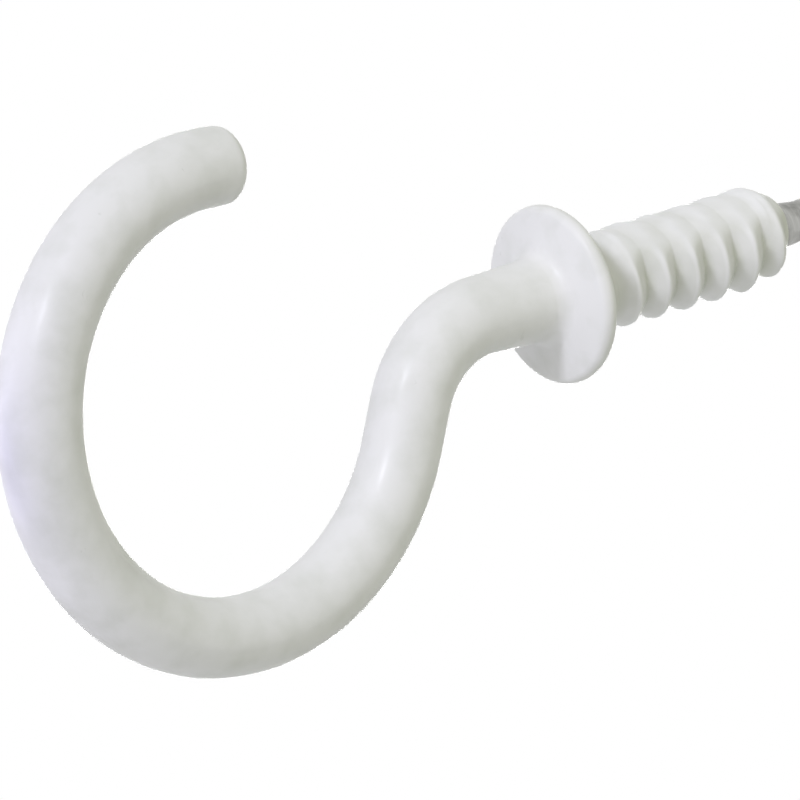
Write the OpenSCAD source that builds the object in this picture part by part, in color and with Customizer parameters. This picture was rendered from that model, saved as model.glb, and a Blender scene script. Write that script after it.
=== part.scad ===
// Cup hook: a bent steel wire with a rolled screw thread at one end and a pressed
// steel collar, coated in thick vinyl as far as the last turns of the thread.
// The origin is the centre of the seat, which is the back of the coated collar.
// +Z runs along the screw to its point, and the hook hangs below in the XZ plane.

/* [Wire] */
// Diameter of the bare steel wire
wire_d = 3.5; // [3.1:0.1:4]
// Length of wire from the seat to the start of the neck bend
shank_l = 6; // [4:0.1:15]

/* [Hook] */
// Radius of the neck bend, at the middle of the wire
neck_bend_r = 6.2; // [4:0.1:12]
// Angle that the neck bend turns the wire through
neck_bend_deg = 66; // [40:1:80]
// Straight length of wire between the neck bend and the loop
neck_l = 2.6; // [0.5:0.1:10]
// Radius of the loop, at the middle of the wire
loop_r = 13.1; // [9:0.1:25]
// Angle that the loop turns the wire through
loop_deg = 251; // [180:1:270]
// Straight length of wire at the end of the hook
tip_l = 1; // [0.5:0.1:8]
// How far bending draws the wire's surface in, on its radius
bend_thinning = 0.02; // [0.01:0.01:0.05]

/* [Collar] */
// Outer diameter of the steel collar
collar_d = 9.6; // [9:0.1:16]
// Thickness of the steel collar
collar_t = 0.5; // [0.4:0.1:1]
// Slope of the domed collar, from its rim up to the shank
collar_slope_deg = 15; // [0:1:25]

/* [Vinyl coating] */
// Thickness of the vinyl on the wire
coat_t = 0.5; // [0.3:0.05:0.6]
// Diameter of the vinyl on the shank where it meets the collar
shank_coat_d = 4.7; // [4.6:0.05:5.2]
// Thickness of the vinyl on the collar
collar_coat_t = 0.3; // [0.25:0.05:0.5]
// Thickness of the vinyl over the cut end of the wire
tip_coat_t = 0.6; // [0.3:0.1:1.5]
// Radius of the coated edge round the cut end of the wire
tip_round_r = 0.9; // [0.3:0.1:1.2]
// Radius of the vinyl in the corner between the shank and the collar
fillet_r = 0.9; // [0.3:0.1:1.2]
// Diameter of the shallow recess round the thread, inside the seat
seat_recess_d = 6.6; // [6.2:0.1:7.5]
// Depth of the recess round the thread
seat_recess_h = 0.2; // [0.1:0.05:0.3]

/* [Thread] */
// Distance along the screw from one crest to the next
thread_pitch = 2.16; // [1.6:0.02:3]
// Length of the screw from the seat to its point
screw_l = 22; // [18:0.5:40]
// Length of the screw that the vinyl covers
coated_screw_l = 15.5; // [10:0.1:16]
// Diameter of the steel at the bottom of the thread
root_d = 2.4; // [2:0.1:2.8]
// Diameter of the steel over the crests
crest_d = 4.7; // [4:0.1:5]
// Diameter of the vinyl at the bottom of the coated thread
coat_root_d = 4.2; // [4:0.1:4.8]
// Diameter of the vinyl over the crests of the coated thread
coat_crest_d = 5.7; // [5.3:0.1:6]
// How sharp the coated crest is: 0 is a point and 1 is round
coat_softness = 0.2; // [0.1:0.05:1]
// Width of a steel crest at its top, along the screw
crest_w = 0.2; // [0.1:0.05:0.4]
// Width of a steel crest at its foot, along the screw
ridge_w = 1.3; // [0.8:0.1:1.5]
// Length of plain screw between the seat and the thread
plain_l = 1.8; // [0.5:0.1:3]
// Diameter of the steel on the plain part of the screw
plain_d = 3; // [2.6:0.1:3]
// Length over which the thread rises out of the plain part
run_in_l = 1.6; // [0.8:0.1:3]
// Length of the tapered point
point_l = 7.5; // [4:0.1:8]
// Diameter of the blunt end of the point
point_end_d = 0.3; // [0.2:0.1:0.8]
// Height of the low thread on the point
point_ridge_h = 0.35; // [0.1:0.05:0.5]
// Length over which the coating rounds off at its open end
coat_end_l = 1.6; // [0.4:0.1:2]
// Thickness of the vinyl at the lip of its open end
coat_lip_t = 0.12; // [0.05:0.01:0.3]
// Turn of the thread about the screw
thread_deg = 70; // [0:5:355]

/* [Hidden] */
$fn = 64;

// Points round the screw, and places across one crest where the helical grid has a row
columns = 32;
coat_phases = [0, 0.06, 0.15, 0.3, 0.5, 0.7, 0.85, 0.94];
crest_share = crest_w / thread_pitch / 2;
foot_share = ridge_w / thread_pitch / 2;
steel_phases = [crest_share, foot_share, 1 - foot_share, 1 - crest_share];

coated_d = wire_d + 2 * coat_t;
screw_z0 = -seat_recess_h;
coated_collar_t = collar_t + 2 * collar_coat_t;
point_z = screw_l - point_l;

// How far each bend runs on inside the straight wire at its ends
bend_overlap = 0.2;
// Chords in each arc of a turned outline
arc_steps = 12;

// Screw thread: surfaces of revolution whose radius changes along and round the screw.
// `reach` is 0 on a crest and 1 in the middle of the groove.
function clamp01(x) = min(max(x, 0), 1);
function ease(x) = let(t = clamp01(x)) t * t * (3 - 2 * t);
function turn_share(z, deg) = let(t = z / thread_pitch - deg / 360) t - floor(t);
function reach(z, deg) = let(t = turn_share(z, deg)) 2 * min(t, 1 - t);
function run_in(z) = ease((z - plain_l) / run_in_l);
// From the plain part's radius to the thread's, as the thread rises
function risen(z, plain_r, thread_r) = plain_r + (thread_r - plain_r) * run_in(z);

function steel_ridge(z, deg) =
    clamp01((ridge_w / 2 - reach(z, deg) * thread_pitch / 2) / (ridge_w - crest_w) * 2);
function point_taper(z) = sqrt(clamp01((screw_l - z) / point_l));
function root_radius(z) =
    point_end_d / 2 + (root_d - point_end_d) / 2 * point_taper(z);
function ridge_height(z) =
    let(full = (crest_d - root_d) / 2, low = point_ridge_h * point_taper(z))
    low + (full - low) * ease((point_z + thread_pitch / 2 - z) / thread_pitch);
steel_radius = function(z, deg)
    risen(z, plain_d / 2, root_radius(z) + ridge_height(z) * steel_ridge(z, deg));

function coat_slope(x) = sqrt(x * x + coat_softness * coat_softness);
function coat_ridge(z, deg) =
    (coat_slope(1) - coat_slope(reach(z, deg))) / (coat_slope(1) - coat_slope(0));
function coat_rounding(z) = sqrt(clamp01((coated_screw_l - z) / coat_end_l));
function full_coat_radius(z, deg) = risen(
    z, coated_d / 2, coat_root_d / 2 + (coat_crest_d - coat_root_d) / 2 * coat_ridge(z, deg)
);
coat_radius = function(z, deg)
    let(steel = steel_radius(z, deg), full = full_coat_radius(z, deg))
    steel + coat_lip_t + (full - steel - coat_lip_t) * coat_rounding(z);

// A wall between two heights is a grid whose rows follow the thread and whose ends are flat.
// Rows that would pass an end stop at it, and the triangles that this flattens are left out.
function wall_rows(z0, z1, phases) = (ceil((z1 - z0) / thread_pitch) + 3) * len(phases);
function row_z(z0, z1, phases, column, row) =
    let(n = len(phases), turn = floor(z0 / thread_pitch - phases[0]) - 1 + floor(row / n))
    min(max(thread_pitch * (turn + phases[row % n] + column / columns), z0), z1);
function wall_point(z, column, radius) =
    let(deg = 360 * column / columns, r = radius(z, deg))
    [r * cos(deg + thread_deg), r * sin(deg + thread_deg), z];
function wall_points(z0, z1, phases, radius) =
    [for (column = [0:columns - 1], row = [0:wall_rows(z0, z1, phases) - 1])
        wall_point(row_z(z0, z1, phases, column, row), column, radius)];

// Triangles of the wall, whose points start at number `first`. Past the last column the grid
// meets the first one again, one turn further up the thread.
function wall_faces(z0, z1, phases, first, outward = true) =
    let(rows = wall_rows(z0, z1, phases), n = len(phases))
    [for (column = [0:columns - 1], row = [0:rows - 2])
        let(
            last = column == columns - 1,
            next = last ? 0 : column + 1,
            step = last ? n : 0,
            low = min(row + step, rows - 1),
            high = min(row + 1 + step, rows - 1),
            a = first + column * rows + row,
            b = first + next * rows + low,
            c = first + next * rows + high,
            d = first + column * rows + row + 1,
            here = row_z(z0, z1, phases, column, row)
                != row_z(z0, z1, phases, column, row + 1),
            there = row_z(z0, z1, phases, next, low) != row_z(z0, z1, phases, next, high)
        )
        each [
            if (there) outward ? [a, c, b] : [a, b, c],
            if (here) outward ? [a, d, c] : [a, c, d]
        ]
    ];

// The points at one end of a wall, as the ring that closes it
function wall_ring(z0, z1, phases, first, top) =
    let(rows = wall_rows(z0, z1, phases))
    [for (column = [0:columns - 1]) first + column * rows + (top ? rows - 1 : 0)];
function reversed(ring) = [for (i = [len(ring) - 1:-1:0]) ring[i]];
function band_faces(a, b) =
    [for (i = [0:columns - 1])
        let(j = (i + 1) % columns)
        each [[a[i], b[i], b[j]], [a[i], b[j], a[j]]]
    ];

// The steel is one wall from the shank to the end of the coating and one from there to the
// point, so that it has the same facets as the inside of the coating.
module steel_screw() {
    covered = wall_points(screw_z0, coated_screw_l, steel_phases, steel_radius);
    bare = wall_points(coated_screw_l, screw_l, steel_phases, steel_radius);
    polyhedron(
        points = concat(covered, bare),
        faces = concat(
            [wall_ring(screw_z0, coated_screw_l, steel_phases, 0, false)],
            wall_faces(screw_z0, coated_screw_l, steel_phases, 0),
            wall_faces(coated_screw_l, screw_l, steel_phases, len(covered)),
            [reversed(wall_ring(coated_screw_l, screw_l, steel_phases, len(covered), true))]
        )
    );
}

// The vinyl on the screw: a wall outside, the steel's own wall inside, and a flat band at each end
module coated_screw() {
    z0 = screw_z0;
    z1 = coated_screw_l;
    inside = wall_points(z0, z1, steel_phases, steel_radius);
    outside = wall_points(z0, z1, coat_phases, coat_radius);
    polyhedron(
        points = concat(inside, outside),
        faces = concat(
            wall_faces(z0, z1, steel_phases, 0, false),
            wall_faces(z0, z1, coat_phases, len(inside)),
            band_faces(
                wall_ring(z0, z1, steel_phases, 0, false),
                wall_ring(z0, z1, coat_phases, len(inside), false)
            ),
            band_faces(
                wall_ring(z0, z1, coat_phases, len(inside), true),
                wall_ring(z0, z1, steel_phases, 0, true)
            )
        )
    );
}

// The wire is drawn from the seat outwards: each piece starts at the origin and runs down,
// and what follows it is placed in the frame at its end. `side` is 1 for a bend towards +X
// and -1 for one towards -X.
module straight(l, d) translate([0, 0, -l]) cylinder(d = d, h = l);
module after_straight(l) translate([0, 0, -l]) children();

module bend(radius, deg, side, d) {
    overlap_deg = bend_overlap / radius * 180 / PI;
    mirror([side < 0 ? 1 : 0, 0, 0])
        translate([radius, 0, 0]) rotate([90, 0, 0]) rotate(180 - overlap_deg)
        rotate_extrude(angle = deg + 2 * overlap_deg) translate([radius, 0]) circle(d = d);
}
module after_bend(radius, deg, side)
    translate([side * radius, 0, 0]) rotate([0, -side * deg, 0])
    translate([-side * radius, 0, 0]) children();

// The wire below the shank, with its children at the end of the hook
module hook_run(d) {
    bent_d = d - 2 * bend_thinning;
    after_straight(shank_l) {
        bend(neck_bend_r, neck_bend_deg, 1, bent_d);
        after_bend(neck_bend_r, neck_bend_deg, 1) {
            straight(neck_l, d);
            after_straight(neck_l) {
                bend(loop_r, loop_deg, -1, bent_d);
                after_bend(loop_r, loop_deg, -1) children();
            }
        }
    }
}

// Turned outlines are drawn as [r, z] points. Round stretches are arcs of `arc_steps` chords.
function arc(centre, r, from_deg, to_deg) =
    [for (i = [0:arc_steps])
        let(deg = from_deg + (to_deg - from_deg) * i / arc_steps)
        centre + r * [cos(deg), sin(deg)]
    ];

// A point of the sloping face that touches the collar's rim circle, at distance r from the axis
rim_centre = [(collar_d - collar_t) / 2, -coated_collar_t / 2];
function slope_point(r, rim_r, front) =
    let(touch = rim_centre + front * rim_r * [sin(collar_slope_deg), -cos(collar_slope_deg)])
    [r, touch.y - (touch.x - r) * tan(collar_slope_deg)];

// The vinyl's outside on the shank and the collar, with a fillet between them
module coated_shank() {
    corner = slope_point(shank_coat_d / 2, coated_collar_t / 2, 1);
    fillet_l = fillet_r / tan(45 + collar_slope_deg / 2);
    rotate_extrude() polygon(concat(
        [[0, -shank_l], [coated_d / 2, -shank_l]],
        arc(corner + [fillet_r, -fillet_l], fillet_r, 180, 90 + collar_slope_deg),
        arc(rim_centre, coated_collar_t / 2, collar_slope_deg - 90, 90),
        [[seat_recess_d / 2, 0], [seat_recess_d / 2, screw_z0], [0, screw_z0]]
    ));
}

// The vinyl's outside at the end of the hook, closed over the cut wire with a rounded edge
module coated_tip() {
    end_z = -tip_l - tip_coat_t;
    round_centre = [coated_d / 2 - tip_round_r, end_z + tip_round_r];
    rotate_extrude() polygon(concat(
        [[0, 0], [0, end_z]],
        arc(round_centre, tip_round_r, -90, 0),
        [[coated_d / 2, 0]]
    ));
}

// The steel collar's dished disc, or the room for it, as far in as distance r from the axis
module collar_disc(r) rotate_extrude() polygon(concat(
    [slope_point(r, collar_t / 2, -1), slope_point(r, collar_t / 2, 1)],
    arc(rim_centre, collar_t / 2, collar_slope_deg - 90, collar_slope_deg + 90)
));

module steel_hook() color([0.62, 0.62, 0.61]) {
    after_straight(-screw_z0) straight(shank_l + screw_z0, wire_d);
    hook_run(wire_d) straight(tip_l, wire_d);
    steel_screw();
}

module collar() color([0.7, 0.7, 0.7]) collar_disc(wire_d / 2);

module vinyl_coating() color([0.9, 0.9, 0.9]) {
    difference() {
        union() {
            coated_shank();
            hook_run(coated_d) coated_tip();
        }
        collar_disc(0);
        translate([0, 0, shank_l]) straight(2 * shank_l, wire_d);
        hook_run(wire_d) straight(tip_l, wire_d);
    }
    coated_screw();
}

steel_hook();
collar();
vinyl_coating();
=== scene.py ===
"""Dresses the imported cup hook: its vinyl coating, bare steel and collar, on a plain stage.

Everything is in metres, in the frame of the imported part: the seat is at the origin, +Z runs
along the screw to its point and the hook hangs below in the XZ plane.
"""

import math

import bpy
import numpy as np
from mathutils import Matrix, Vector


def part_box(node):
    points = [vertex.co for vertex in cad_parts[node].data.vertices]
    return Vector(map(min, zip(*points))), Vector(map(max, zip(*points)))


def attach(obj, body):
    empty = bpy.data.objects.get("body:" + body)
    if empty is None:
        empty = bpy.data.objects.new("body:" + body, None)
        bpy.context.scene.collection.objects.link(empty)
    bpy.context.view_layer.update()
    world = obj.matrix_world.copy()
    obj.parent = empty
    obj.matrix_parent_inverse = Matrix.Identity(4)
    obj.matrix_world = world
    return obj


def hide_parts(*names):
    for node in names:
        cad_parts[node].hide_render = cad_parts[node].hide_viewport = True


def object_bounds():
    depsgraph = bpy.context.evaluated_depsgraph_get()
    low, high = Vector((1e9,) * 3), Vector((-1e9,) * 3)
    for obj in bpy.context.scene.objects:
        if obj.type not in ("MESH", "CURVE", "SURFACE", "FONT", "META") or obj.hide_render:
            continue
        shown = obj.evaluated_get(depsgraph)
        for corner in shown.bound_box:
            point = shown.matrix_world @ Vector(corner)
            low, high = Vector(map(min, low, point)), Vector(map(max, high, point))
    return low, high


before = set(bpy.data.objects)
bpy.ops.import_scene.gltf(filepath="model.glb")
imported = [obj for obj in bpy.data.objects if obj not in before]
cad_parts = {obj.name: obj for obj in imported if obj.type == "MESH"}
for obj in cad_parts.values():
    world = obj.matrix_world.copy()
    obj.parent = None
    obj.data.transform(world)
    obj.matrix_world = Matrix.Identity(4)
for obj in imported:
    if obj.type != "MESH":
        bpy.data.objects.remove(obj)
CAD_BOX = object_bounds()
STEEL_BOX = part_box("steel_hook")
COLLAR_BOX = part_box("collar")
COATING_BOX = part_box("vinyl_coating")

bl_info = {
    "name": "Coated Cup Hook",
    "version": (1, 0, 0),
    "blender": (4, 5, 0),
    "location": "3D View > Sidebar > Cup Hook",
    "description": "Builds the coating, the steel and the stage of a vinyl-coated cup hook",
    "category": "Object",
}

MM = 0.001
HAIR = 0.004 * MM  # keeps the coating's inside off the steel
LOOP_END = 1 / 3  # share of the loop's turn that has the end radius
IMAGE_SIDE = 800
SENSOR_WIDTH = 36.0
FLOOR_CORNERS = 64

# The dipped thread's uneven places, as waves that never repeat from turn to turn: how many
# there are round the screw, their twist in a pitch and their start in radians, and their height
LUMP_WAVES = (
    (3, 2.3, 0.0, 1.0),
    (5, -3.7, 1.0, 0.7),
    (8, 5.9, 2.0, 0.5),
    (13, -9.1, 0.0, 0.4),
)


# Properties: sizes in metres, angles in radians


def length(name, description, default):
    return bpy.props.FloatProperty(
        name=name, description=description, default=default, min=0.0, precision=5, unit="LENGTH"
    )


def angle(name, description, degrees):
    return bpy.props.FloatProperty(
        name=name, description=description, default=math.radians(degrees), subtype="ANGLE"
    )


def share(name, description, default):
    return bpy.props.FloatProperty(
        name=name, description=description, default=default, min=0.0, max=1.0, subtype="FACTOR"
    )


def colour(name, description, default):
    return bpy.props.FloatVectorProperty(
        name=name, description=description, default=default, min=0.0, max=1.0, subtype="COLOR"
    )


def strength(name, description, default):
    return bpy.props.FloatProperty(name=name, description=description, default=default, min=0.0)


def count(name, description, default):
    return bpy.props.IntProperty(name=name, description=description, default=default, min=8)


class HookWire(bpy.types.PropertyGroup):
    """The bent wire, from the seat to the open end"""

    wire_d: length("Wire diameter", "Diameter of the bare steel wire", 3.5 * MM)
    shank_l: length("Shank length", "Wire from the seat to the neck bend", 5.87 * MM)
    neck_bend_r: length("Neck bend radius", "Radius of the neck bend", 6.27 * MM)
    neck_bend: angle("Neck bend", "Angle that the neck bend turns through", 66.3)
    neck_l: length("Neck length", "Straight wire between neck and loop", 2.37 * MM)
    loop_r: length("Loop radius", "Radius of the loop at the middle of the wire", 13.14 * MM)
    loop_end_r: length("Loop end radius", "Radius of the loop's last third", 12.95 * MM)
    loop_turn: angle("Loop turn", "Angle that the loop turns through", 250.8)
    tip_l: length("Tip length", "Straight wire at the open end", 1 * MM)
    coat_t: length("Coating", "Thickness of the vinyl on the wire", 0.5 * MM)
    tip_coat_t: length("Tip coating", "Thickness of the vinyl over the cut end", 0.6 * MM)
    tip_round_r: length("Tip rounding", "Radius of the edge round the cut end", 0.9 * MM)
    run: length("Run", "Vinyl that ran to the inside of the loop at its lowest place", 0.33 * MM)
    run_at: length("Run's place", "From the seat to that place, along the wire", 53 * MM)
    run_l: length("Run's length", "How far it spreads along the wire", 13 * MM)


class HookCollar(bpy.types.PropertyGroup):
    """The dished collar and the vinyl on it"""

    collar_r: length("Collar radius", "Radius of the steel collar", COLLAR_BOX[1].x)
    collar_t: length("Collar thickness", "Thickness of the steel collar", 0.5 * MM)
    slope: angle("Collar slope", "Slope of the dish, from its rim to the shank", 15)
    coat_t: length("Collar coating", "Thickness of the vinyl on the collar", 0.29 * MM)
    shank_coat_d: length("Shank coating", "Vinyl's diameter where it meets the collar", 4.7 * MM)
    fillet_r: length("Fillet", "Radius of the vinyl in the corner at the shank", 0.9 * MM)
    recess_d: length("Recess diameter", "Diameter of the recess inside the seat", 6.6 * MM)
    recess_h: length("Recess depth", "Depth of the recess inside the seat", 0.2 * MM)


class HookThread(bpy.types.PropertyGroup):
    """The screw thread and the vinyl on it"""

    pitch: length("Pitch", "Distance from one crest to the next", 2.16 * MM)
    turn: angle("Turn", "Turn of the thread about the screw", 70)
    screw_l: length("Screw length", "From the seat to the point", STEEL_BOX[1].z)
    coated_l: length("Coated length", "Length of the screw under vinyl", COATING_BOX[1].z)
    plain_l: length("Plain length", "Screw without thread at the seat", 1.8 * MM)
    plain_d: length("Plain diameter", "Steel on the plain part", 3 * MM)
    run_in_l: length("Run-in", "Length over which the thread rises", 1.6 * MM)
    root_d: length("Root diameter", "Steel at the bottom of the thread", 2.85 * MM)
    crest_d: length("Crest diameter", "Steel over the crests", 4.7 * MM)
    crest_w: length("Crest width", "Steel crest at its top", 0.2 * MM)
    ridge_w: length("Ridge width", "Steel crest at its foot", 1.3 * MM)
    coat_root_d: length("Coated root", "Vinyl at the bottom of the thread", 4.2 * MM)
    coat_crest_d: length("Coated crest", "Vinyl over the crests", 5.7 * MM)
    coat_softness: share("Crest softness", "0 is a sharp coated crest and 1 a round one", 0.14)
    pool: length("Pool", "Vinyl that ran into the grooves on one side as it dried", 0.66 * MM)
    pool_from: angle("Pool's start", "Where the pool starts, measured from the other side", 88)
    pool_rise: angle("Pool's rise", "Turn over which the pool rises to its full height", 44)
    point_l: length("Point length", "Length of the tapered point", 7.5 * MM)
    point_end_d: length("Point end", "Diameter of the blunt end of the point", 0.3 * MM)
    point_ridge_h: length("Point ridge", "Height of the low thread on the point", 0.35 * MM)
    smooth_l: length("Smooth length", "Steel without thread past the coating", 1.8 * MM)
    lean: length("Lean", "How far off the screw's axis the steel leaves the vinyl", 0.2 * MM)
    coat_end_l: length("Coating end", "Length over which the vinyl rounds off", 2.1 * MM)
    coat_lip_t: length("Coating lip", "Thickness of the vinyl at its open end", 0.12 * MM)
    lumps: length("Lumps", "Height of the uneven places in the dipped thread", 0.045 * MM)


class HookMesh(bpy.types.PropertyGroup):
    """How finely the pieces are meshed"""

    columns: count("Columns", "Points round the wire", 72)
    thread_step: length("Thread step", "Distance between rings on the thread", 0.06 * MM)
    bend_step: angle("Bend step", "Turn between rings in a bend", 1.0)


class HookFinish(bpy.types.PropertyGroup):
    """Colours and surface of the materials"""

    vinyl: colour("Vinyl", "Colour of the clean vinyl", (0.80, 0.80, 0.80))
    vinyl_cast: colour("Vinyl cast", "Colour of its faint cloudy patches", (0.735, 0.74, 0.725))
    vinyl_scuff: colour("Vinyl scuff", "Colour of its fine scuffs", (0.68, 0.685, 0.67))
    # Painted shade: the colour that darkens the thread's grooves, where shade falls in them
    painted_groove_shade: colour("Groove dust", "Colour of the dust in the thread", (0.68, 0.69, 0.64))
    # Painted highlight: the two values below colour the thread's crests paler and say how far down
    # the crests that reaches
    painted_crest_highlight: colour("Rubbed crest", "Colour of the thread's rubbed crests", (0.85, 0.85, 0.87))
    crest_highlight_h: length("Rubbed height", "How far down the crests they are rubbed", 0.12 * MM)
    cloud_w: length("Cloud width", "Width of the cloudy patches", 2.2 * MM)
    scuff_w: length("Scuff width", "Width of the scuffs", 1.6 * MM)
    gloss_w: length("Gloss width", "Width of the glossier patches", 2.5 * MM)
    peel_depth: length("Orange peel", "Depth of the waves in the dipped skin", 0.012 * MM)
    peel_w: length("Orange peel width", "Width of those waves", 1.3 * MM)
    grain_depth: length("Grain", "Depth of the skin's fine grain", 0.001 * MM)
    grain_w: length("Grain width", "Width of the fine grain", 0.25 * MM)
    steel: colour("Steel", "Colour of the clean steel", (0.46, 0.46, 0.44))
    steel_dull: colour("Dull steel", "Colour of the tarnished patches", (0.24, 0.24, 0.225))
    tarnish_w: length("Tarnish width", "Width of the tarnished patches", 1.1 * MM)
    steel_lines: length("Drawing lines", "Depth of the marks drawn round it", 0.006 * MM)
    steel_line_w: length("Line length", "Length of those marks", 1.5 * MM)


class HookStage(bpy.types.PropertyGroup):
    """Camera, lights and floor"""

    view_azimuth: angle("Camera azimuth", "Camera's place round the screw's axis", -14.21)
    view_elevation: angle("Camera elevation", "Camera's height above the horizon", -37.49)
    view_roll: angle("Camera roll", "Turn of the camera about its own axis", 73.94)
    view_distance: length("Camera distance", "From the camera to what it looks at", 1.5)
    view_scale: bpy.props.FloatProperty(
        name="View scale",
        description="Pixels that a metre spans at that distance, in an 800 pixel image",
        default=17991.2,
    )
    view_target: bpy.props.FloatVectorProperty(
        name="Camera target",
        description="Point that the camera looks at",
        default=(4.72 * MM, 5.25 * MM, -8.14 * MM),
        subtype="TRANSLATION",
        unit="LENGTH",
    )
    key_power: strength("Key light", "Strength of the key light", 1.45)
    key_colour: colour("Key colour", "Colour of the key light", (0.85, 0.85, 0.98))
    front_power: strength("Front light", "Strength of the light along the screw", 0.25)
    front_colour: colour("Front colour", "Colour of the light along the screw", (0.86, 0.82, 1.0))
    side_power: strength("Side light", "Strength of the soft light from the side", 1.36)
    side_colour: colour("Side colour", "Colour of the soft light", (1.0, 0.99, 0.87))
    low_power: strength("Low light", "Strength of the light under the bend", 0.34)
    back_power: strength("Back light", "Strength of the light behind", 1.3)
    room: colour("Room", "Colour of the light from all round", (0.35, 0.365, 0.295))
    floor: colour("Floor", "Colour of the floor", (0.88, 0.86, 0.97))
    floor_r: length("Floor radius", "Radius of the floor", 0.8)
    floor_plain_r: length("Plain floor", "Radius at which the floor starts to fade out", 0.04)
    floor_gap: length("Floor gap", "Room between the floor and the hook", 0.2 * MM)
    floor_glow: share("Floor glow", "How much paler the floor looks than its light makes it", 0.25)


# Outlines of the pieces: rings of points along the wire, from the open end to the screw


def ease(x):
    t = np.clip(x, 0.0, 1.0)
    return t * t * (3 - 2 * t)


def around(columns):
    """Angles of the points of a ring about the wire"""
    return np.arange(columns) * 2 * math.pi / columns


def reach(thread, z, theta):
    """0 on a crest of the thread and 1 in the middle of the groove"""
    turns = z / thread.pitch - (theta - thread.turn) / (2 * math.pi)
    t = turns - np.floor(turns)
    return 2 * np.minimum(t, 1 - t)


def risen(thread, z, plain_r, thread_r):
    """From the plain part's radius to the thread's, as the thread rises"""
    return plain_r + (thread_r - plain_r) * ease((z - thread.plain_l) / thread.run_in_l)


def steel_radius(thread, z, theta):
    taper = math.sqrt(min(max((thread.screw_l - z) / thread.point_l, 0.0), 1.0))
    root = (thread.point_end_d + (thread.root_d - thread.point_end_d) * taper) / 2
    bare = z - thread.coated_l - thread.smooth_l
    low = thread.point_ridge_h * taper * ease(bare / thread.smooth_l)
    full = (thread.crest_d - thread.root_d) / 2
    point_z = thread.screw_l - thread.point_l
    height = low + (full - low) * ease((point_z + thread.pitch / 2 - z) / thread.pitch)
    across = reach(thread, z, theta) * thread.pitch
    ridge = np.clip((thread.ridge_w - across) / (thread.ridge_w - thread.crest_w), 0.0, 1.0)
    return risen(thread, z, thread.plain_d / 2, root + height * ridge)


def coat_radius(thread, coated_r, z, theta):
    def slope(x):
        return np.sqrt(x * x + thread.coat_softness**2)

    ridge = (slope(1.0) - slope(reach(thread, z, theta))) / (slope(1.0) - slope(0.0))
    round_from_x = math.pi - abs(theta - math.pi)
    pool = thread.pool * ease((round_from_x - thread.pool_from) / thread.pool_rise)
    root_r = thread.coat_root_d / 2 + pool
    crest = root_r + (thread.coat_crest_d / 2 - root_r) * ridge
    full = risen(thread, z, coated_r, crest + lumps(thread, z, theta))
    rounding = math.sqrt(min(max((thread.coated_l - z) / thread.coat_end_l, 0.0), 1.0))
    lip = steel_radius(thread, z, theta) + thread.coat_lip_t
    return lip + (full - lip) * rounding


def lumps(thread, z, theta):
    """Height of the dipped vinyl's uneven places"""
    t = z / thread.pitch
    waves = [high * np.sin(n * theta + twist * t + start) for n, twist, start, high in LUMP_WAVES]
    return thread.lumps * sum(waves) / sum(wave[-1] for wave in LUMP_WAVES)


def turned_ring(z, radius, columns):
    theta = around(columns)
    r = np.broadcast_to(radius, theta.shape)
    return np.stack([r * np.cos(theta), r * np.sin(theta), np.full(columns, z)], axis=1)


def screw_ring(thread, z, radius, columns):
    """A ring about the screw, whose end lies a little off its axis"""
    off = ease((z - thread.coated_l) / (2 * thread.coat_end_l) + 1)
    return turned_ring(z, radius, columns) - np.array([thread.lean * off, 0.0, 0.0])


def wire_ring(place, radius, columns):
    """A ring about the wire at a place given as (point, direction of the ring's own X)"""
    centre, x_axis = place
    theta = around(columns)[:, None]
    y_axis = np.array([0.0, 1.0, 0.0])
    return centre + radius * (np.cos(theta) * x_axis + np.sin(theta) * y_axis)


def wire_places(wire, step):
    """Places along the middle of the wire, from the end of the shank to the open end"""
    point = np.array([0.0, 0.0, -wire.shank_l])
    heading = 0.0
    places = []

    def here():
        x_axis = np.array([math.cos(heading), 0.0, math.sin(heading)])
        places.append((point.copy(), x_axis))

    here()
    for radius, turn, side, straight in (
        (wire.neck_bend_r, wire.neck_bend, 1, wire.neck_l),
        (wire.loop_r, wire.loop_turn * (1 - LOOP_END), -1, 0.0),
        (wire.loop_end_r, wire.loop_turn * LOOP_END, -1, wire.tip_l),
    ):
        steps = math.ceil(turn / step)
        chord = 2 * radius * math.sin(turn / steps / 2)
        for _ in range(steps):
            half = side * turn / steps / 2
            heading += half
            point += chord * np.array([math.sin(heading), 0.0, -math.cos(heading)])
            heading += half
            here()
        if straight:
            point += straight * np.array([math.sin(heading), 0.0, -math.cos(heading)])
            here()
    return places


def lengths_along(wire, places):
    """How far along the wire each place is from the seat"""
    centres = np.array([centre for centre, _ in places])
    steps = np.linalg.norm(np.diff(centres, axis=0), axis=1)
    return wire.shank_l + np.concatenate([[0.0], np.cumsum(steps)])


def run(wire, along, theta):
    """Extra vinyl on the inside of the loop, as a column for wire_ring"""
    swell = math.exp(-(((along - wire.run_at) / wire.run_l) ** 2))
    return (wire.run * swell * (1 - np.cos(theta)) / 2)[:, None]


def beyond(place, distance):
    """The place that lies further along a straight end"""
    centre, x_axis = place
    return centre + distance * np.array([x_axis[2], 0.0, -x_axis[0]]), x_axis


def arc(centre_r, centre_z, radius, start, end, steps=12):
    """(r, z) points on an arc between two angles in degrees"""
    return [
        (centre_r + radius * math.cos(a), centre_z + radius * math.sin(a))
        for a in np.radians(np.linspace(start, end, steps + 1))
    ]


def rim(collar):
    """(r, z) of the middle of the collar's rim"""
    return collar.collar_r - collar.collar_t / 2, -(collar.collar_t / 2 + collar.coat_t)


def slope_z(collar, rim_r, side, r):
    """Height of the collar's sloping face at r: side 1 is its front and -1 its back"""
    rim_x, rim_z = rim(collar)
    touch_r = rim_x + side * rim_r * math.sin(collar.slope)
    touch_z = rim_z - side * rim_r * math.cos(collar.slope)
    return touch_z - (touch_r - r) * math.tan(collar.slope)


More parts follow.
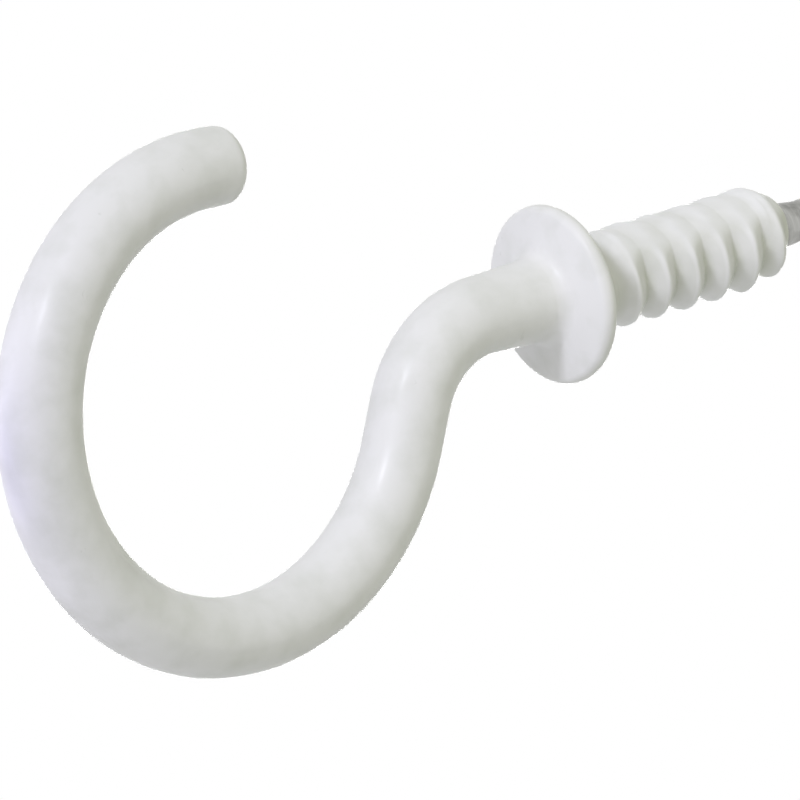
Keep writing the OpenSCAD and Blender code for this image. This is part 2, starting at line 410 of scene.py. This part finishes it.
def collar_outline(collar):
    """The vinyl on the collar as (r, z) points, from the shank to the seat's recess"""
    coated_rim_r = collar.collar_t / 2 + collar.coat_t
    shank_r = collar.shank_coat_d / 2
    slope = math.degrees(collar.slope)
    corner_z = slope_z(collar, coated_rim_r, 1, shank_r)
    fillet_l = collar.fillet_r / math.tan(math.radians(45) + collar.slope / 2)
    rim_x, rim_z = rim(collar)
    fillet = arc(
        shank_r + collar.fillet_r, corner_z - fillet_l, collar.fillet_r, 180, 90 + slope
    )
    face = blended(fillet[-1], arc(rim_x, rim_z, coated_rim_r, slope - 90, 90)[0], 4)
    outer = arc(rim_x, rim_z, coated_rim_r, slope - 90, 90, steps=20)
    recess_r = collar.recess_d / 2
    return fillet + face + outer + [(recess_r, 0.0), (recess_r, -collar.recess_h)]


def blended(first, last, steps):
    """Points between two others, without them"""
    shares = [i / steps for i in range(1, steps)]
    return [tuple(a + (b - a) * t for a, b in zip(first, last)) for t in shares]


def collar_room(collar, bore_r):
    """The hollow for the collar as (r, z) points, from the screw's side to the shank's"""
    half = collar.collar_t / 2
    slope = math.degrees(collar.slope)
    rim_x, rim_z = rim(collar)
    back = (bore_r, slope_z(collar, half, -1, bore_r))
    front = (bore_r, slope_z(collar, half, 1, bore_r))
    return [back] + arc(rim_x, rim_z, half, slope + 90, slope - 90) + [front]


def levels(start, end, step):
    """Evenly spaced heights from start to end"""
    return np.linspace(start, end, math.ceil(abs(end - start) / step) + 1)


def tip_rings(place, radius, cover, rounding, columns):
    """Rings that close an end of the wire with a rounded edge, from its middle outwards"""
    edge = arc(radius - rounding, cover - rounding, rounding, 90, 0, steps=10)
    flat = [(edge[0][0] * part, cover) for part in (0.35, 0.7)]
    return [wire_ring(beyond(place, out), r, columns) for r, out in flat + edge]


def vinyl_rings(hook):
    """The coating's outside from the open end to its lip, then its inside back again"""
    wire, collar, thread, mesh = hook.wire, hook.collar, hook.thread, hook.mesh
    columns = mesh.columns
    theta = around(columns)
    places = wire_places(wire, mesh.bend_step)
    coated_r = wire.wire_d / 2 + wire.coat_t
    rings = tip_rings(places[-1], coated_r, wire.tip_coat_t, wire.tip_round_r, columns)
    spots = zip(places, lengths_along(wire, places))
    skin = [wire_ring(p, coated_r + run(wire, along, theta), columns) for p, along in spots]
    rings += reversed(skin[:-1])
    rings += [turned_ring(z, r, columns) for r, z in collar_outline(collar)]
    for z in levels(-collar.recess_h, thread.coated_l, mesh.thread_step):
        rings.append(screw_ring(thread, z, coat_radius(thread, coated_r, z, theta), columns))
    for z in levels(thread.coated_l, -collar.recess_h, 2 * mesh.thread_step):
        rings.append(screw_ring(thread, z, steel_radius(thread, z, theta) + HAIR, columns))
    inner_r = wire.wire_d / 2 + HAIR
    rings.append(turned_ring(-collar.recess_h, inner_r, columns))
    rings += [turned_ring(z, r, columns) for r, z in collar_room(collar, inner_r)]
    rings += [wire_ring(p, inner_r, columns) for p in places[::2] + [places[-1]]]
    rings.append(wire_ring(beyond(places[-1], HAIR), inner_r, columns))
    return rings


def steel_rings(hook):
    """The wire from its cut end to the point of the screw"""
    wire, thread, mesh = hook.wire, hook.thread, hook.mesh
    columns = mesh.columns
    theta = around(columns)
    places = wire_places(wire, 2 * mesh.bend_step)
    radius = wire.wire_d / 2
    start_z = -hook.collar.recess_h
    rings = [wire_ring(p, radius, columns) for p in reversed(places)]
    rings.append(turned_ring(start_z, radius, columns))
    for z in levels(start_z, thread.screw_l, mesh.thread_step):
        rings.append(screw_ring(thread, z, steel_radius(thread, z, theta), columns))
    return rings


# Meshes and materials


def mesh_from_rings(name, rings, sharp):
    """A closed mesh: a wall through the rings and a fan at each end"""
    columns = len(rings[0])
    points = np.concatenate(rings + [rings[0].mean(0)[None], rings[-1].mean(0)[None]])
    first, last = len(points) - 2, len(points) - 1
    faces = []
    for row in range(len(rings) - 1):
        low, high = row * columns, (row + 1) * columns
        for i in range(columns):
            j = (i + 1) % columns
            faces.append((low + i, low + j, high + j, high + i))
    top = (len(rings) - 1) * columns
    for i in range(columns):
        j = (i + 1) % columns
        faces.append((j, i, first))
        faces.append((top + i, top + j, last))
    mesh = bpy.data.meshes.new(name)
    mesh.from_pydata(points.tolist(), [], faces)
    mesh.validate()
    mesh.shade_smooth()
    mesh.set_sharp_from_angle(angle=sharp)
    piece = bpy.data.objects.new(name, mesh)
    bpy.context.scene.collection.objects.link(piece)
    return piece


def finish_piece(piece, material, node):
    """Gives a new piece its material and its body, and hides the CAD node that it stands for"""
    piece.data.materials.append(material)
    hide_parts(node)
    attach(piece, "root")


class Nodes:
    """Adds and joins the nodes of one material or world"""

    def __init__(self, owner):
        owner.use_nodes = True
        self.tree = owner.node_tree
        self.tree.nodes.clear()

    def add(self, kind, sockets=None, **settings):
        """A node of a kind, with its settings, and values or links for its sockets"""
        node = self.tree.nodes.new(kind)
        for name, value in settings.items():
            setattr(node, name, value)
        for name, value in (sockets or {}).items():
            if isinstance(value, bpy.types.NodeSocket):
                self.tree.links.new(value, node.inputs[name])
            else:
                node.inputs[name].default_value = value
        return node

    def place(self, stretch=(1.0, 1.0, 1.0)):
        """Places on the piece, in metres, stretched along each axis"""
        spot = self.add("ShaderNodeTexCoord").outputs["Object"]
        return self.add("ShaderNodeMapping", {"Vector": spot, "Scale": stretch}).outputs[0]

    def noise(self, spot, size, detail=2.0, distortion=0.0):
        """Noise whose features are about `size` metres across"""
        sockets = {"Vector": spot, "Scale": 1 / size, "Detail": detail, "Distortion": distortion}
        return self.add("ShaderNodeTexNoise", sockets).outputs["Fac"]

    def remap(self, value, low, high, to_low, to_high):
        """Maps low..high to to_low..to_high"""
        sockets = {
            "Value": value,
            "From Min": low,
            "From Max": high,
            "To Min": to_low,
            "To Max": to_high,
        }
        return self.add("ShaderNodeMapRange", sockets).outputs["Result"]

    def mix(self, factor, first, second):
        """Mixes two colours"""
        node = self.add("ShaderNodeMix", data_type="RGBA")
        self.tree.links.new(factor, node.inputs[0])
        for socket, value in ((node.inputs[6], first), (node.inputs[7], second)):
            if isinstance(value, bpy.types.NodeSocket):
                self.tree.links.new(value, socket)
            else:
                socket.default_value = (*value, 1.0)
        return node.outputs[2]

    def on_thread(self, thread, none_r, full_r):
        """Rises from 0 to 1 between two radii of the screw, and stays 0 on the rest of the hook"""
        spot = self.add("ShaderNodeTexCoord").outputs["Object"]
        across = self.add("ShaderNodeVectorMath", {0: spot, 1: (1, 1, 0)}, operation="MULTIPLY")
        far = self.add("ShaderNodeVectorMath", {0: across.outputs[0]}, operation="LENGTH")
        band = self.remap(far.outputs["Value"], none_r, full_r, 0.0, 1.0)
        height = self.add("ShaderNodeSeparateXYZ", {"Vector": spot}).outputs["Z"]
        on_screw = self.remap(height, 0.0, thread.plain_l, 0.0, 1.0)
        both = self.add("ShaderNodeMath", {0: band, 1: on_screw}, operation="MULTIPLY")
        return both.outputs[0]

    def bump(self, height, depth, normal=None):
        """Waves of a depth in metres"""
        sockets = {"Height": height, "Distance": depth, "Strength": 1.0}
        if normal:
            sockets["Normal"] = normal
        return self.add("ShaderNodeBump", sockets).outputs["Normal"]

    def out(self, shader, kind="ShaderNodeOutputMaterial"):
        self.add(kind, {"Surface": shader})


def vinyl_material(finish, thread):
    """Dipped white vinyl: a soft gloss over slow waves, with faint clouds and scuffs, painted
    shade in the thread's grooves and a painted highlight on its crests
    """
    material = bpy.data.materials.new("white_dipped_vinyl")
    nodes = Nodes(material)
    spot = nodes.place()
    clouds = nodes.remap(nodes.noise(spot, finish.cloud_w, detail=4.0), 0.42, 0.68, 0.0, 1.0)
    base = nodes.mix(clouds, tuple(finish.vinyl), tuple(finish.vinyl_cast))
    marks = nodes.noise(
        nodes.place((1.0, 1.0, 3.0)), finish.scuff_w, detail=8.0, distortion=1.6
    )
    scuffs = nodes.remap(marks, 0.72, 0.80, 0.0, 1.0)
    base = nodes.mix(scuffs, base, tuple(finish.vinyl_scuff))
    root_r, crest_r = thread.coat_root_d / 2, thread.coat_crest_d / 2
    # Painted shade: the thread's grooves are coloured darker towards their bottoms
    shaded_groove = nodes.on_thread(thread, (root_r + crest_r) / 2, root_r)
    base = nodes.mix(shaded_groove, base, tuple(finish.painted_groove_shade))
    # Painted highlight: the thread's crests are coloured paler, as where light catches them
    painted_crest_highlight = nodes.on_thread(thread, crest_r - finish.crest_highlight_h, crest_r)
    base = nodes.mix(painted_crest_highlight, base, tuple(finish.painted_crest_highlight))
    waves = nodes.noise(spot, finish.peel_w, detail=1.0)
    grain = nodes.noise(spot, finish.grain_w)
    skin = nodes.bump(waves, finish.peel_depth)
    skin = nodes.bump(grain, finish.grain_depth, skin)
    gloss = nodes.remap(nodes.noise(spot, finish.gloss_w, detail=4.0), 0.3, 0.7, 0.36, 0.5)
    shader = nodes.add(
        "ShaderNodeBsdfPrincipled",
        {
            "Base Color": base,
            "Roughness": gloss,
            "IOR": 1.5,
            "Specular IOR Level": 0.3,
            "Coat Weight": 0.05,
            "Coat Roughness": 0.14,
            "Normal": skin,
        },
    )
    nodes.out(shader.outputs[0])
    return material


def steel_material(name, finish, lines, gloss):
    """Drawn steel: fine lines one way, tarnished in patches. `lines` stretches the lines."""
    material = bpy.data.materials.new(name)
    nodes = Nodes(material)
    spot = nodes.place()
    tarnish = nodes.remap(nodes.noise(spot, finish.tarnish_w, detail=5.0), 0.42, 0.7, 0.0, 1.0)
    base = nodes.mix(tarnish, tuple(finish.steel), tuple(finish.steel_dull))
    drawn = nodes.noise(nodes.place(lines), finish.steel_line_w, detail=4.0)
    streak = nodes.remap(drawn, 0.35, 0.65, 0.0, 0.35)
    base = nodes.mix(streak, base, tuple(finish.steel_dull))
    skin = nodes.bump(drawn, finish.steel_lines)
    rough = nodes.remap(tarnish, 0.0, 1.0, gloss, gloss + 0.2)
    shader = nodes.add(
        "ShaderNodeBsdfPrincipled",
        {"Base Color": base, "Metallic": 1.0, "Roughness": rough, "Normal": skin},
    )
    nodes.out(shader.outputs[0])
    return material


def floor_material(stage):
    """A pale floor that shows from above only and fades out at its edge.

    It lets every lamp through, so that what lies under it is lit, and keeps the shadow that
    the hook throws on it.
    """
    material = bpy.data.materials.new("pale_floor")
    nodes = Nodes(material)
    rays = nodes.add("ShaderNodeLightPath").outputs
    paint = nodes.add("ShaderNodeBsdfDiffuse", {"Color": (*stage.floor, 1.0)})
    lift = nodes.add(
        "ShaderNodeMath", {0: rays["Is Camera Ray"], 1: stage.floor_glow}, operation="MULTIPLY"
    )
    glow = nodes.add("ShaderNodeEmission", {"Strength": lift.outputs[0]})
    lit = nodes.add("ShaderNodeAddShader", {0: paint.outputs[0], 1: glow.outputs[0]})
    far = nodes.add("ShaderNodeVectorMath", {0: nodes.place()}, operation="LENGTH")
    edge = nodes.remap(far.outputs["Value"], stage.floor_plain_r, stage.floor_r, 0.0, 1.0)
    under = nodes.add("ShaderNodeNewGeometry").outputs["Backfacing"]
    hidden = nodes.add("ShaderNodeMath", {0: under, 1: rays["Is Shadow Ray"]}, operation="MAXIMUM")
    hidden = nodes.add("ShaderNodeMath", {0: hidden.outputs[0], 1: edge}, operation="MAXIMUM")
    clear = nodes.add("ShaderNodeBsdfTransparent")
    surface = nodes.add(
        "ShaderNodeMixShader", {0: hidden.outputs[0], 1: lit.outputs[0], 2: clear.outputs[0]}
    )
    nodes.out(surface.outputs[0])
    return material


def light_room(stage):
    """The world: plain white to look at and in reflections, and a soft level of light"""
    world = bpy.data.worlds.new("plain_room")
    bpy.context.scene.world = world
    nodes = Nodes(world)
    rays = nodes.add("ShaderNodeLightPath").outputs
    seen = nodes.add(
        "ShaderNodeMath", {0: rays["Is Camera Ray"], 1: rays["Is Glossy Ray"]}, operation="MAXIMUM"
    )
    seen = nodes.add(
        "ShaderNodeMath", {0: seen.outputs[0], 1: rays["Is Transmission Ray"]}, operation="MAXIMUM"
    )
    room = nodes.add("ShaderNodeBackground", {"Color": (*stage.room, 1.0)})
    white = nodes.add("ShaderNodeBackground", {"Color": (1.0, 1.0, 1.0, 1.0)})
    both = nodes.add(
        "ShaderNodeMixShader", {0: seen.outputs[0], 1: room.outputs[0], 2: white.outputs[0]}
    )
    nodes.out(both.outputs[0], "ShaderNodeOutputWorld")


def add_lamp(name, travels, power, width, tint):
    """A distant soft lamp whose light travels one way. `width` is how wide it looks."""
    lamp = bpy.data.lights.new(name, "SUN")
    lamp.energy = power
    lamp.angle = width
    lamp.color = tint
    lamp_object = bpy.data.objects.new(name, lamp)
    lamp_object.rotation_euler = Vector(travels).to_track_quat("-Z", "Y").to_euler()
    bpy.context.scene.collection.objects.link(lamp_object)


def add_floor(stage, height):
    """A round floor under the hook"""
    mesh = bpy.data.meshes.new("floor")
    corners = [
        (stage.floor_r * math.cos(a), stage.floor_r * math.sin(a), height)
        for a in around(FLOOR_CORNERS)
    ]
    mesh.from_pydata(corners, [], [tuple(range(len(corners)))])
    mesh.materials.append(floor_material(stage))
    floor = bpy.data.objects.new("floor", mesh)
    bpy.context.scene.collection.objects.link(floor)


def add_camera(stage):
    """The camera, placed by its azimuth, elevation and roll about the point it looks at"""
    data = bpy.data.cameras.new("camera")
    data.sensor_width = SENSOR_WIDTH
    data.lens = stage.view_scale * stage.view_distance / IMAGE_SIDE * SENSOR_WIDTH
    data.clip_start = stage.view_distance / 10
    data.clip_end = stage.view_distance * 10
    camera = bpy.data.objects.new("camera", data)
    turn = (
        Matrix.Rotation(stage.view_azimuth, 4, "Z")
        @ Matrix.Rotation(math.radians(90) - stage.view_elevation, 4, "X")
        @ Matrix.Rotation(stage.view_roll, 4, "Z")
    )
    back = turn.to_3x3() @ Vector((0.0, 0.0, 1.0))
    place = Vector(stage.view_target) + back * stage.view_distance
    camera.matrix_world = Matrix.Translation(place) @ turn
    bpy.context.scene.collection.objects.link(camera)
    bpy.context.scene.camera = camera


# Operators, panel and registration


class CUPHOOK_OT_vinyl(bpy.types.Operator):
    """Builds the vinyl coating over the wire, the collar and most of the thread"""

    bl_idname = "cup_hook.vinyl"
    bl_label = "Vinyl Coating"

    def execute(self, context):
        hook = context.scene.cup_hook
        piece = mesh_from_rings("vinyl_skin", vinyl_rings(hook), math.radians(40))
        finish_piece(piece, vinyl_material(hook.finish, hook.thread), "vinyl_coating")
        return {"FINISHED"}


class CUPHOOK_OT_steel(bpy.types.Operator):
    """Builds the steel wire with its thread and point"""

    bl_idname = "cup_hook.steel"
    bl_label = "Steel Wire"

    def execute(self, context):
        hook = context.scene.cup_hook
        piece = mesh_from_rings("steel_wire", steel_rings(hook), math.radians(40))
        material = steel_material("drawn_steel", hook.finish, (1.0, 1.0, 12.0), 0.34)
        finish_piece(piece, material, "steel_hook")
        return {"FINISHED"}


class CUPHOOK_OT_collar(bpy.types.Operator):
    """Gives the steel collar under the vinyl its finish"""

    bl_idname = "cup_hook.collar"
    bl_label = "Collar Finish"

    def execute(self, context):
        finish = context.scene.cup_hook.finish
        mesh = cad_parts["collar"].data
        mesh.materials.clear()
        mesh.materials.append(steel_material("pressed_steel", finish, (6.0, 6.0, 1.0), 0.3))
        return {"FINISHED"}


class CUPHOOK_OT_stage(bpy.types.Operator):
    """Adds the camera, the lamps, the room's light and the floor"""

    bl_idname = "cup_hook.stage"
    bl_label = "Stage"

    def execute(self, context):
        stage = context.scene.cup_hook.stage
        context.scene.view_settings.view_transform = "Standard"
        add_camera(stage)
        light_room(stage)
        # Each lamp's name, the way its light travels, its strength, width in degrees and colour
        for name, travels, power, width, tint in (
            ("key", (0.65, 0.27, 0.71), stage.key_power, 10, stage.key_colour),
            ("front", (0.23, 0.18, 0.96), stage.front_power, 20, stage.front_colour),
            ("side", (0.55, 0.70, 0.46), stage.side_power, 70, stage.side_colour),
            ("low", (-0.77, -0.23, 0.59), stage.low_power, 25, stage.key_colour),
            ("back", (-0.25, -0.75, -0.6), stage.back_power, 25, (1.0, 1.0, 1.0)),
        ):
            add_lamp(name, travels, power, math.radians(width), tint)
        add_floor(stage, CAD_BOX[0].z - stage.floor_gap)
        return {"FINISHED"}


class CUPHOOK_PT_sidebar(bpy.types.Panel):
    """Lists the pieces, the stage and their values"""

    bl_idname = "CUPHOOK_PT_sidebar"
    bl_label = "Cup Hook"
    bl_space_type = "VIEW_3D"
    bl_region_type = "UI"
    bl_category = "Cup Hook"

    def draw(self, context):
        for operator in OPERATORS:
            self.layout.operator(operator.bl_idname)
        hook = context.scene.cup_hook
        for group in (hook.wire, hook.collar, hook.thread, hook.mesh, hook.finish, hook.stage):
            box = self.layout.box()
            for name in group.bl_rna.properties.keys():
                if name not in ("name", "rna_type"):
                    box.prop(group, name)


class CupHook(bpy.types.PropertyGroup):
    """All the values of the hook and its stage"""

    wire: bpy.props.PointerProperty(name="Wire", description="The wire", type=HookWire)
    collar: bpy.props.PointerProperty(name="Collar", description="The collar", type=HookCollar)
    thread: bpy.props.PointerProperty(name="Thread", description="The screw", type=HookThread)
    mesh: bpy.props.PointerProperty(name="Mesh", description="Fineness", type=HookMesh)
    finish: bpy.props.PointerProperty(name="Finish", description="Materials", type=HookFinish)
    stage: bpy.props.PointerProperty(name="Stage", description="The stage", type=HookStage)


GROUPS = (HookWire, HookCollar, HookThread, HookMesh, HookFinish, HookStage, CupHook)
OPERATORS = (CUPHOOK_OT_steel, CUPHOOK_OT_collar, CUPHOOK_OT_vinyl, CUPHOOK_OT_stage)
CLASSES = GROUPS + OPERATORS + (CUPHOOK_PT_sidebar,)


def register():
    for cls in CLASSES:
        bpy.utils.register_class(cls)
    bpy.types.Scene.cup_hook = bpy.props.PointerProperty(
        name="Cup hook", description="Values of the cup hook", type=CupHook
    )


def unregister():
    del bpy.types.Scene.cup_hook
    for cls in reversed(CLASSES):
        bpy.utils.unregister_class(cls)


def main():
    """Builds the pieces and the stage"""
    register()
    bpy.ops.cup_hook.steel()
    bpy.ops.cup_hook.collar()
    bpy.ops.cup_hook.vinyl()
    bpy.ops.cup_hook.stage()


if __name__ == "__main__":
    main()
